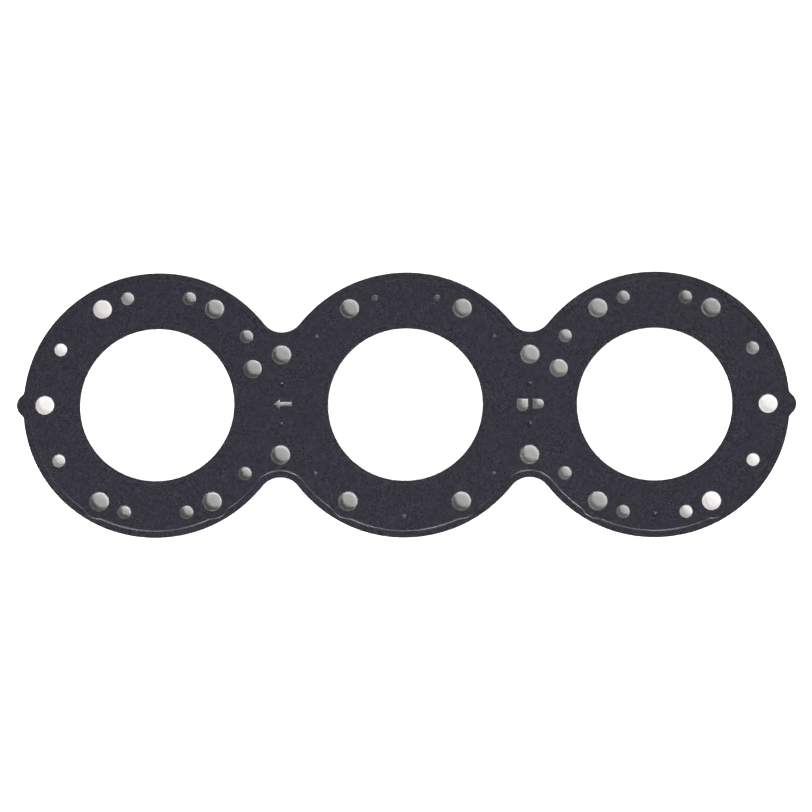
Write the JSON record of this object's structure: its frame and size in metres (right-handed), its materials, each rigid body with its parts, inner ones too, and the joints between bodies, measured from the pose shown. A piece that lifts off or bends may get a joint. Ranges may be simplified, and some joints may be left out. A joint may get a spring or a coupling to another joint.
{
  "type": "cylinder head gasket",
  "caption": "Flat head gasket of joined rings with large bore openings, stud, dowel and coolant holes, a raised bead along its edge and a pressed bead round each bore.",
  "frame": {"origin": "under the middle bore's axis, on the face that lies on the cylinder block", "axes": "+X along the row of bores towards the end with the two index windows, +Y towards the side with the dowel holes, +Z from the block to the head"},
  "size_m": [0.414, 0.143, 0.0013],
  "materials": {
    "coated_steel": "black rubber coat, bonded to both faces, fine grained and satin",
    "carrier_steel": "plain cold rolled, dull grey"
  },
  "bodies": {
    "root": {"carrier_sheet": "carrier_steel", "embossed_sheet": "coated_steel"}
  },
  "joints": []
}
